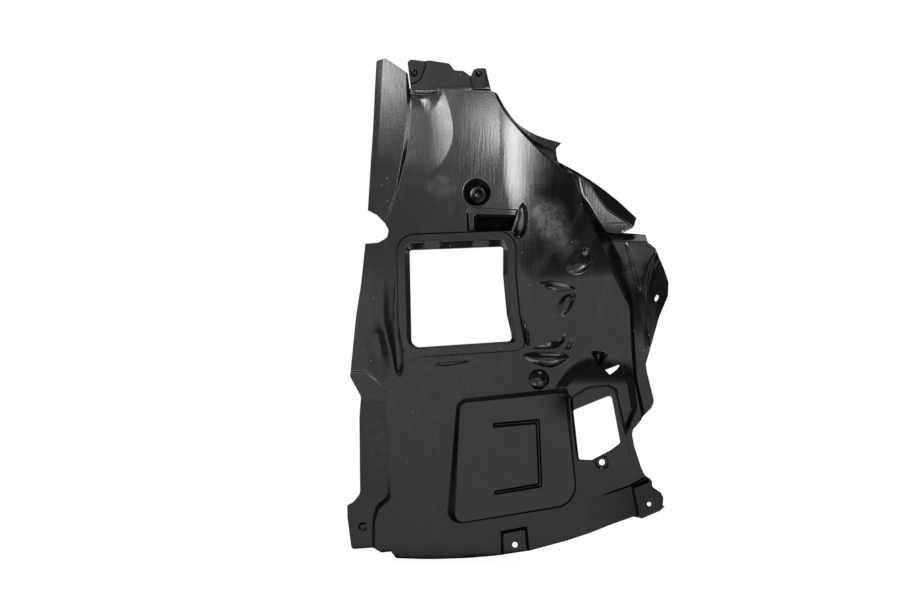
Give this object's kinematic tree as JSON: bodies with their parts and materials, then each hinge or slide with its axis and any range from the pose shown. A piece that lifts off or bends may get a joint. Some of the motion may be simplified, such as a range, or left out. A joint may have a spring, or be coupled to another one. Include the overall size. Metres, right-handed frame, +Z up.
{
  "type": "wheel arch trim",
  "caption": "Front section of a wheel arch liner: a thin curved sheet of black plastic with pressed pockets, a large window, a hooded small window and fixing tabs.",
  "frame": {"origin": "centre of the bounding box", "axes": "+Z up the part, from its foot flange to its top flange; -Y towards the wheel, the side the picture shows; +X to the right as seen from the wheel"},
  "size_m": [0.4838, 0.2048, 0.7446],
  "materials": {
    "black_plastic": "glossy black thermoformed sheet"
  },
  "bodies": {
    "root": {"arch_liner": "black_plastic"}
  },
  "joints": []
}
